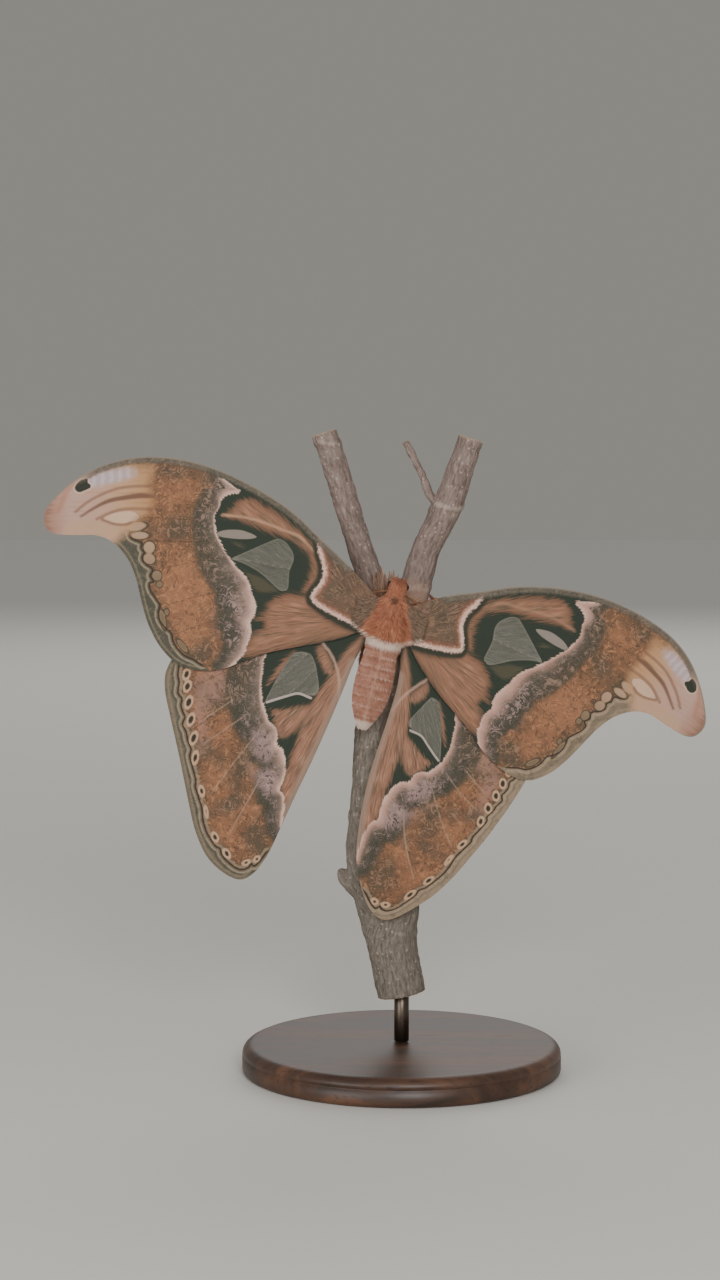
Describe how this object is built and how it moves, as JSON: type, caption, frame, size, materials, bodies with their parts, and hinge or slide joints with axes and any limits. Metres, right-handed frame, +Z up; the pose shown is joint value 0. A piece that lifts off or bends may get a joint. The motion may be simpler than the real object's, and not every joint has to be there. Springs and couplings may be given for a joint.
{
  "type": "atlas moth model",
  "caption": "Life-size still model of an atlas moth at rest with wings spread, gripping a short forked stem that a round wooden base holds upright.",
  "frame": {"origin": "middle of the base's underside, on the surface it stands on", "axes": "+Z up, -Y towards the viewer who sees the moth's back, +X to that viewer's right"},
  "size_m": [0.2278, 0.112, 0.225],
  "materials": {
    "thorax_fur": "rust-orange fur",
    "abdomen_fur": "salmon fur with pale cross lines",
    "eye": "dark, glossy",
    "feeler": "matte brown",
    "leg": "brown, haired",
    "forewing": "powdery scales, orange, rose, black and cream, with clear panes",
    "hindwing": "powdery scales, orange, rose, black and cream, with a clear pane",
    "bark": "pale pinkish-grey bark",
    "base_wood": "dark oiled wood",
    "rod_metal": "dark bronzed metal"
  },
  "bodies": {
    "root": {"head": "thorax_fur", "thorax": "thorax_fur", "abdomen": "abdomen_fur", "eye_left": "eye", "eye_right": "eye", "antenna_left": "feeler", "antenna_right": "feeler", "leg_front_left": "leg", "leg_front_right": "leg", "leg_middle_left": "leg", "leg_middle_right": "leg", "leg_hind_left": "leg", "leg_hind_right": "leg", "forewing_left": "forewing", "forewing_right": "forewing", "hindwing_left": "hindwing", "hindwing_right": "hindwing", "perch_stem": "bark", "perch_branch_left": "bark", "perch_branch_right": "bark", "stand_base": "base_wood", "stand_rod": "rod_metal"}
  },
  "joints": []
}
